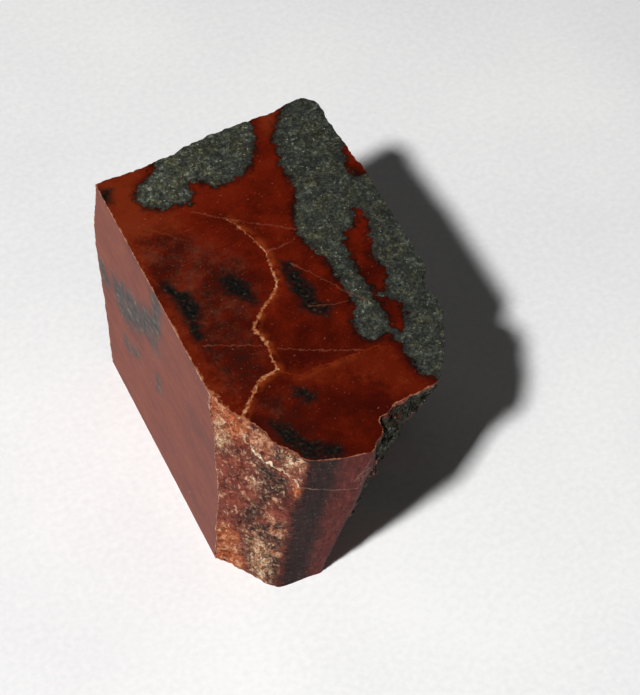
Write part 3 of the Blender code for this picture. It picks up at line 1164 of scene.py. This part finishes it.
def paint_matrix(tree, place, under, shades):
    """The grainy matrix with its dark border. Returns the colour and where the matrix is."""
    # Grains of different tones, in patches, and a little darker to the right.
    cells = add(tree, "TexVoronoi", {"Vector": place, "Scale": 1 / GRAINS}).outputs["Color"]
    grainy = {"Vector": place, "Scale": 1 / FINE, "Detail": 4.0, "Roughness": 0.7}
    fine = add(tree, "TexNoise", grainy)
    tone = add(tree, "Math", {0: cells, 1: GRAIN_SHARE, 2: fine}, operation="MULTIPLY_ADD")
    patches = add(tree, "TexNoise", {"Vector": place, "Scale": 1 / PATCHES, "Detail": 3.0})
    tone = add(tree, "Math", {0: patches, 1: PATCH_SHARE, 2: tone}, operation="MULTIPLY_ADD")
    to_right = {
        "Value": add(tree, "SeparateXYZ", {0: place}).outputs["X"],
        "From Min": -12.0, "From Max": 14.0, "To Min": 0.36, "To Max": 0.47,
    }
    tone = add(tree, "Math", {0: tone, 1: add(tree, "MapRange", to_right)}, operation="SUBTRACT")

    # Grey and olive tints with bright glints.
    grey = add(tree, "ValToRGB", {"Fac": tone}, shades["matrix"])
    olive = add(tree, "ValToRGB", {"Fac": tone}, shades["olive"])
    tinted = {"Vector": place, "Scale": 1 / TINTS, "Detail": 4.0, "Roughness": 0.6}
    tints = add(tree, "TexNoise", tinted)
    olive_share = add(tree, "MapRange", {"Value": tints, "From Min": 0.45, "From Max": 0.65})
    grains = lay(tree, grey, olive, olive_share)
    glints = add(tree, "TexNoise", {"Vector": place, "Scale": 1 / GLINTS, "Detail": 1.0})
    bright = {"Value": glints, "From Min": 0.72, "From Max": 0.8, "To Max": 0.7}
    grains = lay(tree, grains, shades["glint"], add(tree, "MapRange", bright))

    # The matrix itself, and a dark border on both sides of its outline.
    depth = depth_in(tree, place, "matrix", MATRIX_JAGS)
    edge = {"Value": depth, "From Min": -MATRIX_EDGE, "From Max": MATRIX_EDGE}
    where = add(tree, "MapRange", edge)
    painted = lay(tree, under, grains, where)
    away = add(tree, "Math", {0: depth}, operation="ABSOLUTE")
    near = {"Value": away, "From Min": 0.0, "From Max": HALO, "To Min": HALO_DEPTH, "To Max": 0.0}
    border = add(tree, "MapRange", near, interpolation_type="SMOOTHSTEP")
    uneven = {"Value": tints, "From Min": 0.35, "From Max": 0.58, "To Min": 0.4}
    return lay(tree, painted, shades["halo"], border, add(tree, "MapRange", uneven)), where


# %% Veins and rust
# Each set of veins: its stored name, its shade, how much of it shows and its dark border.
VEIN_SETS = [
    ("rust_lines", "rust", 0.35, None),
    ("thin_veins", "thin_vein", 0.5, None),
    ("branch_vein", "branch", 0.9, None),
    ("main_vein", "vein", 0.9, None),
    ("front_vein", "vein", 1.0, 0.08),
]
CREAM = 0.6
BORDER_SHARE = 0.7


def paint_veins(tree, place, under, shades):
    """Rust beside the veins, then the veins themselves, from the faintest to the main one."""
    rust = add(tree, "Attribute", attribute_name="rust").outputs["Fac"]
    patchy = add(tree, "TexNoise", {"Vector": place, "Scale": 1 / MOTTLES, "Detail": 4.0})
    shown = add(tree, "MapRange", {"Value": patchy, "From Min": 0.4, "From Max": 0.62})
    painted = lay(tree, under, shades["rust"], rust, shown)
    tone = add(tree, "TexNoise", {"Vector": place, "Scale": 1 / CREAM, "Detail": 3.0})
    cream = add(tree, "ValToRGB", {"Fac": tone}, shades["vein"])
    for name, shade, share, border in VEIN_SETS:
        if border:
            around = vein_mask(tree, place, name, border)
            painted = lay(tree, painted, shades["halo"], around, BORDER_SHARE)
        over = cream if shade == "vein" else shades[shade]
        painted = lay(tree, painted, over, vein_mask(tree, place, name), share)
    return painted


def paint_minerals(tree, place, streaked, shades):
    """All minerals in one set of shades. Returns the colour and where the matrix is."""
    red = paint_red(tree, streaked, shades)
    dark = paint_dark(tree, streaked, red, shades)
    matrix, where = paint_matrix(tree, place, dark, shades)
    return paint_veins(tree, place, matrix, shades), where


# %% [markdown]
# ### Worn rims, with a painted highlight
#
# Where a flat side ends, tiny flakes have broken away, too small for the mesh. They
# scatter light, so the left and front rims show a pale line of uneven width. The same line
# is a painted highlight: these are the rims that face the main light. It is painted where the
# stored distance from those rims is small, on the polish and on the cuts alike.


# %% The pale rim: wear and a painted highlight
WEAR_STEP = 1.6
WEAR_WIDTH = 0.3
WEAR_EDGE = 0.05
WEAR_AND_HIGHLIGHT_SHARE = 0.8


def paint_worn_rim_and_highlight(tree, place, under, code):
    """A pale line of uneven width along the worn rims, which also paints their highlight."""
    rim = add(tree, "Attribute", attribute_name="rim").outputs["Fac"]
    wear = {"Vector": place, "Scale": 1 / WEAR_STEP, "Detail": 5.0, "Roughness": 0.7}
    uneven = add(tree, "TexNoise", wear)
    reach = {"Value": uneven, "From Min": 0.44, "From Max": 0.7, "To Min": 0.0, "To Max": WEAR_WIDTH}
    width = add(tree, "MapRange", reach)
    inside = add(tree, "Math", {0: width, 1: rim}, operation="SUBTRACT")
    # The pale line is wear and a painted highlight of the main light.
    worn = {"Value": inside, "From Min": -WEAR_EDGE, "From Max": WEAR_EDGE, "To Max": WEAR_AND_HIGHLIGHT_SHARE}
    return lay(tree, under, code, add(tree, "MapRange", worn))


# %% [markdown]
# ### Polished jasper
#
# Jasper takes a polish like glass, since its crystals are too small to see. The polish
# shows the full depth of the red. The matrix is softer, wears away under the polishing
# powder and stays half matt.

# %% Polished jasper
POLISHED = {
    "red": [(0.3, "#390903"), (0.45, "#490e03"), (0.6, "#5e1505"), (0.75, "#681b08")],
    "mottled": [(0.45, "#2e120c"), (0.63, "#5e2c1d")],
    "warm": [(0.42, "#601806"), (0.6, "#722810")],
    "speck": "#8c5a4a",
    "stain": (0.7, 0.7),
    "fill": 0.75,
    "dark": [(0.32, "#040808"), (0.48, "#0e100e"), (0.62, "#1e1a15"), (0.78, "#44463c")],
    "matrix": [
        (0.26, "#080c09"), (0.42, "#1b1f18"), (0.56, "#2e3228"), (0.72, "#484c40"), (0.9, "#7e8270"),
    ],
    "olive": [
        (0.26, "#0b0c06"), (0.42, "#1e1f13"), (0.56, "#323220"), (0.72, "#4e4d34"), (0.9, "#7c7a5c"),
    ],
    "glint": "#b4b6a2",
    "halo": "#080a06",
    "rust": "#8a3a16",
    "branch": "#80280d",
    "thin_vein": "#94543e",
    "vein": [(0.35, "#74381f"), (0.5, "#a8643f"), (0.65, "#c8946c")],
}
# The pale rim on the polish: wear and a painted highlight.
POLISHED_RIM_AND_HIGHLIGHT = "#aa6a4a"
POLISH_ROUGHNESS = 0.18
MATRIX_ROUGHNESS = 0.65
PIT_DEPTH = 0.03

polished, tree, shader, place = start_material("polished_jasper")
painted, where = paint_minerals(tree, place, place, POLISHED)
painted = paint_worn_rim_and_highlight(tree, place, painted, POLISHED_RIM_AND_HIGHLIGHT)
gloss = {"Value": where, "To Min": POLISH_ROUGHNESS, "To Max": MATRIX_ROUGHNESS}
pits = add(tree, "TexNoise", {"Vector": place, "Scale": 1 / FINE, "Detail": 2.0})
depth = add(tree, "Math", {0: pits, 1: where}, operation="MULTIPLY")
finish = {
    "Base Color": painted,
    "Roughness": add(tree, "MapRange", gloss),
    "Normal": add(tree, "Bump", {"Height": depth, "Distance": PIT_DEPTH * MM}),
}
fill(tree, shader, finish)
print(polished.name, "has", len(tree.nodes), "nodes")

# %% [markdown]
# ### Sawn jasper
#
# A diamond saw leaves a surface that is flat but matt, so the colours look greyed. The
# blade's slow drift leaves faint streaks along its travel, and they drag the colours along.

# %% Sawn jasper
SAWN = {
    "red": [(0.3, "#764036"), (0.45, "#844436"), (0.6, "#8c4836"), (0.75, "#965440")],
    "mottled": [(0.42, "#6c4038"), (0.6, "#7c4a3e")],
    "warm": [(0.4, "#90503a"), (0.6, "#a0603e")],
    "speck": "#c89888",
    "stain": (1.4, 1.4),
    "fill": 0.55,
    "dark": [(0.34, "#2e3836"), (0.5, "#48494a"), (0.62, "#645a52"), (0.72, "#8c9088")],
    "matrix": [(0.3, "#2c2f28"), (0.5, "#4a4e42"), (0.7, "#6e7164"), (0.86, "#9a9c8e")],
    "olive": [(0.3, "#302e22"), (0.5, "#504e3c"), (0.7, "#74705a"), (0.86, "#98947c")],
    "glint": "#c4c6b6",
    "halo": "#4c3a32",
    "rust": "#a86c50",
    "branch": "#a86c50",
    "thin_vein": "#b88a74",
    "vein": [(0.35, "#b08a74"), (0.5, "#d0ac94"), (0.65, "#e0c8b4")],
}
# The pale rim on the cuts: wear and a painted highlight.
SAWN_RIM_AND_HIGHLIGHT = "#dcb090"
# The streaks are this long along the blade's travel and this wide across it.
STREAK_SIZE = (1.4, 4.0, 1.4)
# The colours are only dragged to twice their length.
DRAG = (1.0, 0.5, 1.0)
STREAK_SHADES = [(0.32, "#e0d8d8"), (0.5, "#eeeae8"), (0.68, "#fcf4f0")]
STREAK_DEPTH = 0.02
SAWN_ROUGHNESS = 0.7
DULL_SHEEN = 0.25

sawn, tree, shader, place = start_material("sawn_jasper")
dragged = add(tree, "Mapping", {"Vector": place, "Scale": DRAG})
painted, _ = paint_minerals(tree, place, dragged, SAWN)
stretch = [1 / size for size in STREAK_SIZE]
along_blade = add(tree, "Mapping", {"Vector": place, "Scale": stretch})
streaky = {"Vector": along_blade, "Scale": 1.0, "Detail": 5.0, "Roughness": 0.65}
streaks = add(tree, "TexNoise", streaky)
shade = add(tree, "ValToRGB", {"Fac": streaks}, STREAK_SHADES)
inks = {FACTOR: 1.0, UNDER: painted, OVER: shade}
painted = add(tree, "Mix", inks, data_type="RGBA", blend_type="MULTIPLY")
finish = {
    "Base Color": paint_worn_rim_and_highlight(tree, place, painted, SAWN_RIM_AND_HIGHLIGHT),
    "Roughness": SAWN_ROUGHNESS,
    "Specular IOR Level": DULL_SHEEN,
    "Normal": add(tree, "Bump", {"Height": streaks, "Distance": STREAK_DEPTH * MM}),
}
fill(tree, shader, finish)
print(sawn.name, "has", len(tree.nodes), "nodes")

# %% [markdown]
# ### Broken jasper
#
# A break is rough and full of tiny cracks, which scatter light, so it is paler than the
# polish. It is sugary: grains and flecks of orange and cream quartz stand in the red, thick
# in some zones and thin in others. The cream flecks sit on the raised grains and also stand
# in for their glints, a painted highlight, and the dark pits between them are painted shade.
# The facet on the front is an old joint face. It is smooth and darker, purple-grey on its
# left, and faint grooves run down it. Pale lines along its ridge on the right are a painted
# highlight.

# %% Broken jasper
BROKEN = {
    "red": [(0.3, "#5c2a22"), (0.45, "#864436"), (0.6, "#985440"), (0.75, "#b07058")],
    "mottled": [(0.42, "#604038"), (0.6, "#6e483c")],
    "warm": [(0.4, "#98502e"), (0.6, "#b06640")],
    "speck": "#d8b098",
    "stain": (1.2, 1.0),
    "fill": 0.5,
    "dark": [(0.32, "#18191c"), (0.45, "#382b26"), (0.55, "#5a4035"), (0.68, "#86624e")],
    "matrix": [
        (0.3, "#12150f"), (0.44, "#262a20"), (0.56, "#3c4034"), (0.7, "#585c4e"), (0.86, "#8a8c7e"),
    ],
    "olive": [
        (0.3, "#16150c"), (0.44, "#2c2b1c"), (0.56, "#434230"), (0.7, "#605e48"), (0.86, "#8c886e"),
    ],
    "glint": "#b8baa8",
    "halo": "#241a12",
    "rust": "#b8683e",
    "branch": "#b8683e",
    "thin_vein": "#b88a74",
    "vein": [(0.35, "#c09c78"), (0.5, "#e2cca8"), (0.65, "#f4ead2")],
}
broken, tree, shader, place = start_material("broken_jasper")
painted, where = paint_minerals(tree, place, place, BROKEN)
print(broken.name, "starts with", len(tree.nodes), "nodes")

# %% Sugary grains
LUMPS = 0.8
LUMP_SHARE = 0.45
WARM_SUGAR = [
    (0.3, "#743420"), (0.45, "#a45230"), (0.6, "#bc6c44"), (0.75, "#d09670"), (0.9, "#e8cca8"),
]
PALE_SUGAR = [
    (0.28, "#5c4030"), (0.42, "#a07050"), (0.55, "#c89c78"), (0.68, "#e0c8a8"), (0.82, "#f2e8d4"),
]
PINK_SUGAR = [(0.3, "#8c503c"), (0.5, "#b47858"), (0.7, "#ca9c7c"), (0.9, "#dcc0a0")]
# Each zone: its stored name, its shades, and the jags and the blur of its border in mm.
SUGAR_ZONES = [
    ("warm", WARM_SUGAR, 0.9, 0.9),
    ("pale", PALE_SUGAR, 1.2, 0.9),
    ("pink", PINK_SUGAR, 0.5, 0.25),
]

lumps = add(tree, "TexVoronoi", {"Vector": place, "Scale": 1 / LUMPS}).outputs["Color"]
grainy = {"Vector": place, "Scale": 1 / FINE, "Detail": 4.0, "Roughness": 0.7}
fine = add(tree, "TexNoise", grainy)
tone = add(tree, "Math", {0: lumps, 1: LUMP_SHARE, 2: fine}, operation="MULTIPLY_ADD")
tone = add(tree, "Math", {0: tone, 1: 0.2}, operation="SUBTRACT")
crowds = {"Vector": place, "Scale": 1 / PATCHES, "Detail": 5.0, "Roughness": 0.7}
crowd = add(tree, "TexNoise", crowds)
crowded = add(tree, "MapRange", {"Value": crowd, "From Min": 0.34, "From Max": 0.52})
for name, shades, jags, blur in SUGAR_ZONES:
    sugar = add(tree, "ValToRGB", {"Fac": tone}, shades)
    painted = lay(tree, painted, sugar, area_mask(tree, place, name, jags, blur), crowded)

# Each grain has a shade of its own, which makes the break look granular.
grains = add(tree, "TexVoronoi", {"Vector": place, "Scale": 1 / GRAINS}).outputs["Color"]
shade = add(tree, "ValToRGB", {"Fac": grains}, [(0.2, "#b4aaa6"), (0.5, "#ffffff")])
inks = {FACTOR: 0.7, UNDER: painted, OVER: shade}
painted = add(tree, "Mix", inks, data_type="RGBA", blend_type="MULTIPLY")
print("with its sugary grains:", len(tree.nodes), "nodes")

# %% Flecks with a painted glint, and pits with painted shade
FLECK_SIZE = 0.9
# Cream quartz flecks on the raised grains, also a painted glint.
FLECK_AND_GLINT = "#d2a88a"
# Dark pits are painted shade in the hollows between the grains.
PIT_SHADE = "#3a221a"

fleck = {"Vector": place, "Scale": 1 / FLECK_SIZE, "Detail": 5.0, "Roughness": 0.7, "Distortion": 0.5}
fleck_noise = add(tree, "TexNoise", fleck)
bright = add(tree, "MapRange", {"Value": fleck_noise, "From Min": 0.54, "From Max": 0.68})
pits = add(tree, "MapRange", {"Value": fleck_noise, "From Min": 0.4, "From Max": 0.32})
on_facet = area_mask(tree, place, "facet", 0.45, 0.6)
off_facet = add(tree, "Math", {0: 1.0, 1: on_facet}, operation="SUBTRACT")
in_red = add(tree, "Math", {0: 1.0, 1: where}, operation="SUBTRACT")
# Flecks where the bump is highest are quartz and a painted glint; pits where it is lowest are painted
# shade.
painted = lay(tree, painted, FLECK_AND_GLINT, bright, crowded, off_facet, in_red)
painted = lay(tree, painted, PIT_SHADE, pits, off_facet)
print("with its flecks and pits:", len(tree.nodes), "nodes")

# %% The smooth facet
FACET_RED = [(0.32, "#421714"), (0.5, "#5a201a"), (0.68, "#74372f")]
FACET_PURPLE = [(0.32, "#1a0e0d"), (0.5, "#281513"), (0.68, "#3c2320")]
FACET_PALE = "#a08070"
GROOVE_SIZE = (0.7, 0.7, 16.0)

down = add(tree, "Mapping", {"Vector": place, "Scale": [1 / size for size in GROOVE_SIZE]})
grooves = add(tree, "TexNoise", {"Vector": down, "Scale": 1.0, "Detail": 6.0, "Roughness": 0.7})
red = add(tree, "ValToRGB", {"Fac": grooves}, FACET_RED)
purple = add(tree, "ValToRGB", {"Fac": grooves}, FACET_PURPLE)
facet = lay(tree, red, purple, area_mask(tree, place, "purple", 0.6, 0.9))
# The front vein, and the painted highlight along the ridge.
for name, share in (("front_vein", 0.8), ("ridge_glints", 0.5)):
    facet = lay(tree, facet, FACET_PALE, vein_mask(tree, place, name), share)
grit = add(tree, "TexNoise", {"Vector": place, "Scale": 1 / SPECKS, "Detail": 3.0})
bright = {"Value": grit, "From Min": 0.64, "From Max": 0.74, "To Max": 0.6}
facet = lay(tree, facet, FACET_PALE, add(tree, "MapRange", bright))
painted = lay(tree, painted, facet, on_facet)
print("with its facet:", len(tree.nodes), "nodes")

# %% Relief too fine for the mesh
SUGAR_DEPTH = 0.16
FLECK_RISE = 1.5
GROOVE_RISE = 0.4
BREAK_ROUGHNESS = 0.75
BREAK_SHEEN = 0.12

rise = add(tree, "Math", {0: fleck_noise, 1: FLECK_RISE, 2: fine}, operation="MULTIPLY_ADD")
rise = add(tree, "Math", {0: rise, 1: off_facet}, operation="MULTIPLY")
rise = add(tree, "Math", {0: grooves, 1: GROOVE_RISE, 2: rise}, operation="MULTIPLY_ADD")
finish = {
    "Base Color": painted,
    "Roughness": BREAK_ROUGHNESS,
    "Specular IOR Level": BREAK_SHEEN,
    "Normal": add(tree, "Bump", {"Height": rise, "Distance": SUGAR_DEPTH * MM}),
}
fill(tree, shader, finish)
print("with its fine relief:", len(tree.nodes), "nodes")

# %% [markdown]
# ## Giving each face its finish
#
# A face in the plane of a flat side was cut there. The top is polished, the other three
# are sawn, and all the rest is a break.

# %% Give each face its finish
FINISHES = [broken, polished, sawn]
stone.data.materials.clear()
for material in FINISHES:
    stone.data.materials.append(material)

slots = np.full(len(middles), FINISHES.index(broken), np.int32)
for side, chosen in faces_of.items():
    slots[chosen] = FINISHES.index(polished if side == "top" else sawn)
stone.data.polygons.foreach_set("material_index", slots)
counts = np.bincount(slots)
print("faces:", {material.name: int(count) for material, count in zip(FINISHES, counts)})

# %% [markdown]
# ## Finishing the mesh
#
# Shading is smooth up to an angle that keeps the rims and the edges of ledges crisp.

# %% Shade smooth
CRISP_ANGLE = math.radians(42)
select_only(stone)
bpy.ops.object.shade_smooth_by_angle(angle=CRISP_ANGLE)
stone.data.calc_loop_triangles()
print("finished stone:", len(stone.data.loop_triangles), "triangles")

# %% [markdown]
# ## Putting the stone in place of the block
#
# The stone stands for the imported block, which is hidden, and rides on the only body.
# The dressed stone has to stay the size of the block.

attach(stone, "root")
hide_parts("jasper_block")
